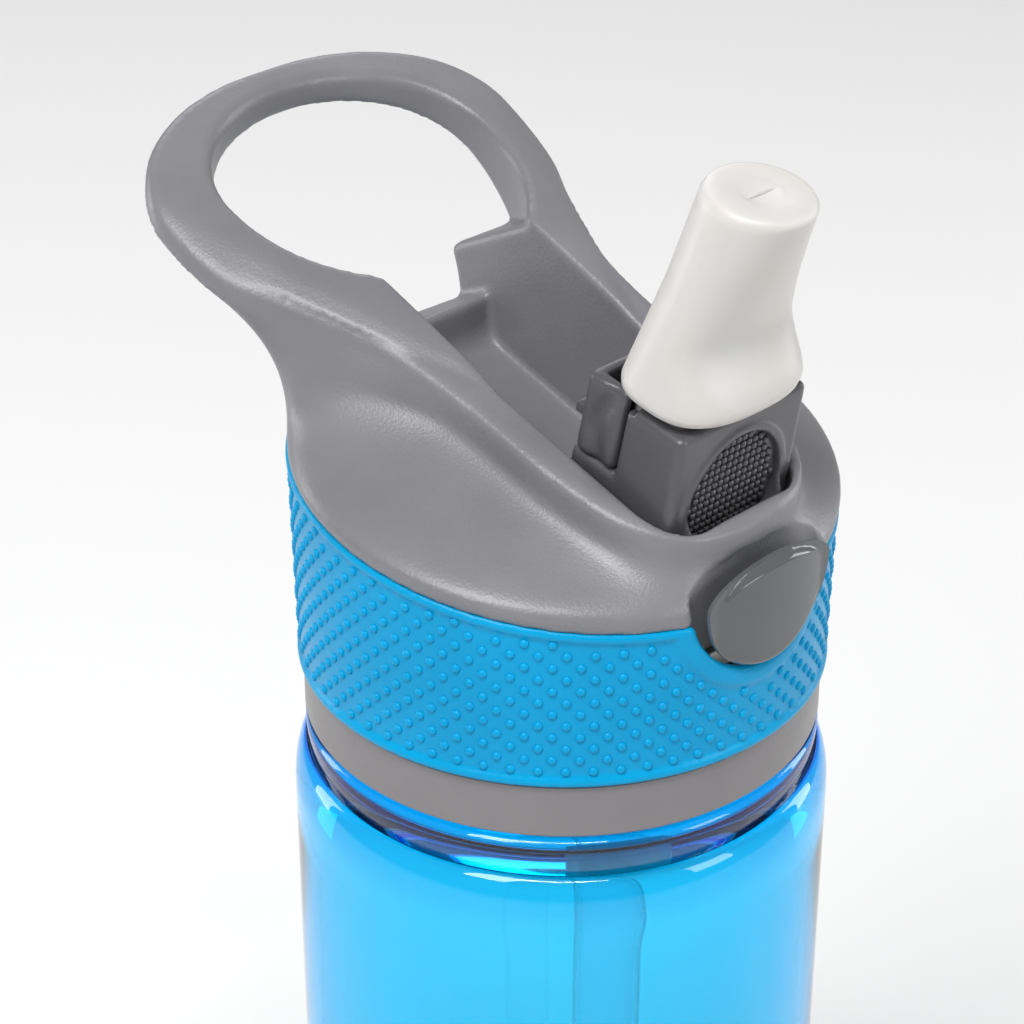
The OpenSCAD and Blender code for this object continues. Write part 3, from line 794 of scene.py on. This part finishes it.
def make_carrier():
    f = Field((-12.6, -10, -10), (12.6, 12.5, 20), 0.3)
    parts = [f.mesh(carrier_solid(f))] + knurl_bumps()
    ob = joined("spout_carrier_skin", [(spout_to_world(p), q) for p, q in parts])
    finish_piece(ob, DARK_GREY, "spout", "spout_carrier")


def make_retainer():
    """Bracket behind the carrier: a U of thin walls with a folded rib on each side."""
    half, front, back, low, top = 11.9, 4.5, 11.0, 7.9, 19.6
    inside_half, inside_back, floor_top = 10.1, 9.4, 9.4
    slot_half, slot_back, slot_top = 5.2, 8, 12
    f = Field((-13.2, 3, 6.6), (13.2, 15, 21), 0.3)
    across = np.abs(f.x)
    shape = soft_max(across - half, np.maximum(front - f.y, f.y - back), 1.4)
    shape = soft_max(shape, np.maximum(low - f.z, f.z - top), 0.9)
    groove_y = 7.0 + 1.1 * np.sin((f.z - 8.5) / 2.6)
    groove = np.sqrt(((f.y - groove_y) / 1.6) ** 2 + ((half + 1 - across) / 1.5) ** 2) - 1
    shape = soft_max(shape, -groove * 1.2, 0.8)
    inside = soft_max(across - inside_half, np.maximum(3 - f.y, f.y - inside_back), 0.8)
    shape = soft_max(shape, -np.maximum(inside, floor_top - f.z), 0.4)
    slot = np.maximum(across - slot_half, np.maximum(f.y - slot_back, f.z - slot_top))
    shape = np.maximum(shape, -slot)
    foot = box_distance(across, f.y, f.z, (HOOK_X, 11.8, 12.3), (1.2, 1.3, 0.8))
    shape = soft_min(shape, foot, 0.4)
    points, faces = f.mesh(shape)
    ob = piece("spout_retainer_skin", spout_to_world(points), faces)
    finish_piece(ob, DARK_GREY, "spout", "spout_retainer")


MOUTH_SIDES = 96


def superellipse(half_x, front, back, centre, w, power):
    """Ring round the spout, from an ellipse at power 2 towards a rectangle at higher powers."""
    a = np.arange(MOUTH_SIDES) * 2 * math.pi / MOUTH_SIDES
    c, s = np.cos(a), np.sin(a)
    x = half_x * np.sign(c) * np.abs(c) ** (2 / power)
    v = np.where(s < 0, front, back) * np.sign(s) * np.abs(s) ** (2 / power)
    return np.column_stack([x, centre + v, np.full(MOUTH_SIDES, float(w))])


def mouth_axis(w):
    """The soft spout leans forward a little more than its carrier."""
    return 2.7 - 0.132 * (w - 28.8)


def make_mouthpiece():
    """Bite valve from its foot in the carrier up to the slit in its tip, and down the bore again."""
    foot, tip, base, bore = 12.4, 47.3, 20.8, 3.0
    base_half, base_depth, tip_r, front_waist = 12.35, 8.5, 7.1, 2.9
    rings = [superellipse(9.2, 5.2, 5.0, 1.6, foot, 3.0), superellipse(9.7, 5.7, 5.4, 1.6, 13.2, 3.0),
             superellipse(9.7, 5.7, 5.4, 1.6, 18.6, 3.0), superellipse(11.2, 7.4, 7.6, 1.3, 19.2, 2.8),
             superellipse(12.1, 8.2, 8.3, 1.2, 19.9, 2.7),
             superellipse(base_half, base_depth, base_depth, 1.2, base, 2.6)]
    for w in np.linspace(21.6, 46.1, 26):
        t = (w - base) / (tip - base)
        flare = float(ease(t / 0.32))
        front = mix(base_depth, mix(front_waist, tip_r, t), flare)
        rings.append(superellipse(mix(base_half, tip_r, t), front, mix(base_depth, tip_r, t),
                                  mix(1.2, mouth_axis(tip), t), w, mix(2.6, 2.0, min(1.0, t / 0.5))))
    end = mouth_axis(tip)
    for w, r in ((46.7, 6.95), (47.1, 6.65), (47.27, 6.2), (tip, 5.7), (tip - 0.02, 3.4), (tip - 0.15, 3.0)):
        rings.append(superellipse(r, r, r, end, w, 2.0))
    for w, half_x, half_v in ((47.1, 2.4, 0.5), (46.9, 2.2, 0.16), (45.3, 2.2, 0.16), (44.4, bore, bore),
                              (foot, bore, bore)):
        centre = mix(MOUTH_V, end, min(1, (w - 12) / 30))
        rings.append(superellipse(half_x, half_v, half_v, centre, w, 2.0))
    points, faces = skin(rings, caps=False)
    n, last = MOUTH_SIDES, len(points) - MOUTH_SIDES
    faces += [(last + i, last + (i + 1) % n, (i + 1) % n, i) for i in range(n)]
    ob = piece("mouthpiece_skin", spout_to_world(points), faces, sharp_degrees=60)
    finish_piece(ob, MILKY, "spout", "mouthpiece")


def make_tube():
    """Soft tube from the straw adapter up into the spout, with a bend in the middle."""
    outer_r, inner_r, sides, straight = 4.05, 3.05, 24, 1.5
    low, high = np.array([0.0, STRAW_Y, 22.0]), spout_point(MOUTH_V, 12)
    a, b = low + Z_AXIS * straight, spout_point(MOUTH_V, 2.5)
    p, q = low + Z_AXIS * 9, spout_point(MOUTH_V, -5)
    t = np.linspace(0, 1, 24)[:, None]
    bend = (1 - t) ** 3 * a + 3 * (1 - t) ** 2 * t * p + 3 * (1 - t) * t * t * q + t ** 3 * b
    path = np.concatenate([[low], bend, [high]])
    outside, wall = sweep(path, outer_r, X_AXIS, sides)
    inside, bore = sweep(path, inner_r, X_AXIS, sides)
    n = len(outside)
    # The two end caps of each sweep are dropped, and a flat ring closes the wall at either end.
    faces = wall[:-2] + [tuple(i + n for i in reversed(face)) for face in bore[:-2]]
    for first, flip in ((0, False), (n - sides, True)):
        for i in range(sides):
            k = (i + 1) % sides
            quad = (first + i, first + n + i, first + n + k, first + k)
            faces.append(quad[::-1] if flip else quad)
    ob = piece("spout_tube_skin", lift(np.concatenate([outside, inside])), faces, sharp_degrees=60)
    finish_soft_piece(ob, MILKY, "spout_tube")


# ---------------------------------------------------------------- springs, latch and straw

def coil(axis_points, radius, turns, u, w):
    """Points of a helix from one end of an axis to the other."""
    points_a_turn = 24
    first, last = np.array(axis_points, float)
    t = np.linspace(0, 1, turns * points_a_turn + 1)[:, None]
    a = 2 * math.pi * turns * t
    return first + (last - first) * t + radius * (np.cos(a) * u + np.sin(a) * w)


def make_latch():
    """Bar behind the button, with two arms that end in hooks."""
    arm_half, hook_back, bevel = 1.5, -0.8, 0.3
    hook = [(-3.4, 20.3), (hook_back, 20.3), (hook_back, 29.4), (-1.0, 29.6), (-2.8, 29.6), (-4.5, 28.2),
            (-4.5, 27.6), (-3.4, 27.6)]
    bar_half = HOOK_X + arm_half
    parts = [block((-bar_half, SLIDE_FRONT + 0.01, SLIDE_LOW), (bar_half, SLIDE_BACK, SLIDE_HIGH), bevel)]
    for side in (-HOOK_X, HOOK_X):
        left, right = side - arm_half, side + arm_half
        parts.append(block((left, SLIDE_BACK - 0.1, SLIDE_LOW), (right, hook_back, SLIDE_HIGH), bevel))
        parts.append(skin([[(x, y, z) for y, z in hook] for x in (left, right)]))
    ob = joined("latch_slide_skin", [(lift(p), q) for p, q in parts], 30)
    face_outwards(ob)
    finish_piece(ob, ACETAL, "button", "latch_slide")


def make_button_spring():
    """Coil spring between the slide and the post."""
    front, back, coil_r, wire_r, end_turn = -27.85, -17.75, 1.5, 0.3, 0.35
    path = coil(((0, front, SPRING_Z), (0, back, SPRING_Z)), coil_r, 6, X_AXIS, Z_AXIS)
    points, faces = sweep(path, wire_r, Y_AXIS, 10)
    ob = piece("button_spring_skin", lift(points), faces)
    face_outwards(ob)
    finish_soft_piece(ob, STEEL, "button_spring")


def make_torsion_spring():
    """Spring round the hinge, with a straight leg at each end."""
    left, right, coil_r, wire_r = 8.8, 11.4, 2.8, 0.38
    turns = coil(((left, 0, 0), (right, 0, 0)), coil_r, 3, Z_AXIS, -Y_AXIS)
    path = np.concatenate([[(left, 2, coil_r)], turns, [(right, -3.2, coil_r)]])
    points, faces = sweep(path, wire_r, X_AXIS, 10)
    ob = piece("torsion_spring_skin", spout_to_world(points), faces)
    face_outwards(ob)
    finish_piece(ob, STEEL, "spout", "torsion_spring")


def make_pins():
    """A short pin on each side of the tube, with bevelled ends."""
    inner, outer, pin_r, bevel = 6.5, 16.5, 1.5, 0.2
    ends = ((inner, pin_r - bevel), (inner + bevel, pin_r), (outer - bevel, pin_r), (outer, pin_r - bevel))
    angles = np.arange(32) * math.pi / 16
    parts = []
    for side in (-1, 1):
        rings = [[(side * x, HINGE[1] + r * math.cos(a), HINGE[2] + r * math.sin(a)) for a in angles]
                 for x, r in ends]
        parts.append(skin(rings))
    ob = joined("hinge_pins_skin", [(lift(p), q) for p, q in parts], 40)
    face_outwards(ob)
    finish_piece(ob, STEEL, "lid", "hinge_pins")


def make_straw():
    """Straw from just above the bottle's base up into its adapter."""
    foot, top, wall, bevel = 9 - LID_Z, 7.9, 0.7, 0.15
    outline = [(STRAW_R - wall, foot), (STRAW_R - bevel, foot), (STRAW_R, foot + bevel), (STRAW_R, top),
               (STRAW_R - wall, top)]
    points, faces = lathe(outline, 64, (0.0, STRAW_Y))
    ob = piece("straw_skin", lift(points), faces, sharp_degrees=40)
    finish_piece(ob, STRAW_CLEAR, "lid", "straw")


def make_straw_adapter():
    """Socket for the straw below the cap's deck, and a barbed spigot for the soft tube above it."""
    low, socket_top, flange_r, bore_r = -14, 8, 6.6, 2.3
    socket_r = STRAW_R + 0.02
    outline = [(socket_r, low + 0.2), (STRAW_R + 0.2, low), (STRAW_R + 1.1, low), (STRAW_R + 1.3, low + 0.2),
               (STRAW_R + 1.5, socket_top), (flange_r, 10), (flange_r, 17.9), (4.5, 17.98), (4.5, 20.1),
               (3.6, 20.9), (3.03, 21.3), (3.03, 24.8), (bore_r, 25), (bore_r, socket_top),
               (socket_r, socket_top)]
    points, faces = lathe(outline, 96, (0.0, STRAW_Y))
    ob = piece("straw_adapter_skin", lift(points), faces, sharp_degrees=30)
    finish_piece(ob, ACETAL, "lid", "straw_adapter")


def make_neck_seal():
    """Flat ring between the bottle's mouth and the cap's deck."""
    low, high, inner, outer = 16.15, 17.9, 27.95, 31.1
    outline = [(inner, low + 0.15), (inner + 0.15, low), (outer - 0.2, low), (outer, low + 0.2),
               (outer, high - 0.2), (outer - 0.2, high), (inner + 0.15, high), (inner, high - 0.15)]
    points, faces = lathe(outline)
    ob = piece("neck_seal_skin", lift(points), faces, sharp_degrees=40)
    finish_piece(ob, WHITE_SEAL, "seal", "neck_seal")


def make_vent_valve():
    """Umbrella under the cap's deck, with a stem that snaps through it."""
    vent_y, stem_r, head_r, dish_r = 14.0, 1.25, 1.9, 4.2
    outline = [(0, 16.1), (1.4, 16.3), (dish_r - 0.2, 17.2), (dish_r, 17.4), (dish_r, 18), (stem_r, 18),
               (stem_r, 19.5), (head_r, 19.6), (head_r, 19.8), (1.2, 21.5), (0, 21.9)]
    points, faces = lathe(outline, 64, (0.0, vent_y))
    ob = piece("vent_valve_skin", lift(points), faces, sharp_degrees=40)
    finish_piece(ob, WHITE_SEAL, "lid", "vent_valve")


make_bottle()
make_shell()
make_cap()
make_band()
make_button()
make_carrier()
make_retainer()
make_mouthpiece()
make_tube()
make_latch()
make_button_spring()
make_torsion_spring()
make_pins()
make_straw()
make_straw_adapter()
make_neck_seal()
make_vent_valve()


# ---------------------------------------------------------------- camera and studio

def make_camera(scene):
    """Camera in front and to the left, looking down on the lid."""
    yaw, pitch = math.radians(44.81), math.radians(29.73)
    place = Vector((-236.0, -227.9, LID_Z + 214.9)) * MM
    aim = Vector((math.sin(yaw) * math.cos(pitch), math.cos(yaw) * math.cos(pitch), -math.sin(pitch)))
    cam = bpy.data.objects.new("camera", bpy.data.cameras.new("camera"))
    scene.collection.objects.link(cam)
    cam.data.lens = 100
    cam.data.sensor_width = 36
    cam.location = place
    cam.rotation_mode = "QUATERNION"
    cam.rotation_quaternion = aim.to_track_quat("-Z", "Y")
    scene.camera = cam


def make_world(scene):
    world = bpy.data.worlds.new("studio")
    world.use_nodes = True
    background = world.node_tree.nodes["Background"]
    background.inputs["Color"].default_value = (1, 1, 1, 1)
    background.inputs["Strength"].default_value = 0.3
    scene.world = world


def make_floor(scene):
    """Wide pale floor without any sheen."""
    half = 6
    mesh = bpy.data.meshes.new("floor")
    corners = [(-half, -half, 0), (half, -half, 0), (half, half, 0), (-half, half, 0)]
    mesh.from_pydata(corners, [], [(0, 1, 2, 3)])
    floor = bpy.data.objects.new("floor", mesh)
    scene.collection.objects.link(floor)
    mat, _, _, bsdf = new_material("floor")
    bsdf.inputs["Base Color"].default_value = (0.83, 0.83, 0.83, 1)
    bsdf.inputs["Roughness"].default_value = 0.9
    bsdf.inputs["Specular IOR Level"].default_value = 0.0
    mesh.materials.append(mat)


def softbox(scene, name, place, size, power):
    """Rectangular lamp, placed and sized in metres, turned towards the lid."""
    focus = Vector((0, 0, 0.2))
    light = bpy.data.lights.new(name, "AREA")
    light.shape = "RECTANGLE"
    light.size, light.size_y = size
    light.energy = power
    ob = bpy.data.objects.new(name, light)
    scene.collection.objects.link(ob)
    ob.location = place
    ob.rotation_mode = "QUATERNION"
    ob.rotation_quaternion = (focus - Vector(place)).to_track_quat("-Z", "Y")


def studio():
    scene = bpy.context.scene
    scene.view_settings.view_transform = "Standard"
    make_camera(scene)
    make_world(scene)
    make_floor(scene)
    softbox(scene, "key", (-0.75, -0.15, 1.15), (0.35, 0.8), 11)
    softbox(scene, "overhead", (-0.38, -0.42, 1.25), (0.5, 0.12), 6)
    softbox(scene, "front", (0.35, -1.15, 0.6), (0.4, 0.5), 3.5)
    softbox(scene, "left_strip", (-0.45, 1.05, 0.4), (0.25, 0.8), 3.5)
    softbox(scene, "right_strip", (1.05, -0.4, 0.4), (0.25, 0.8), 3.5)
    softbox(scene, "back", (0.7, 0.9, 0.9), (0.8, 0.5), 3)


studio()
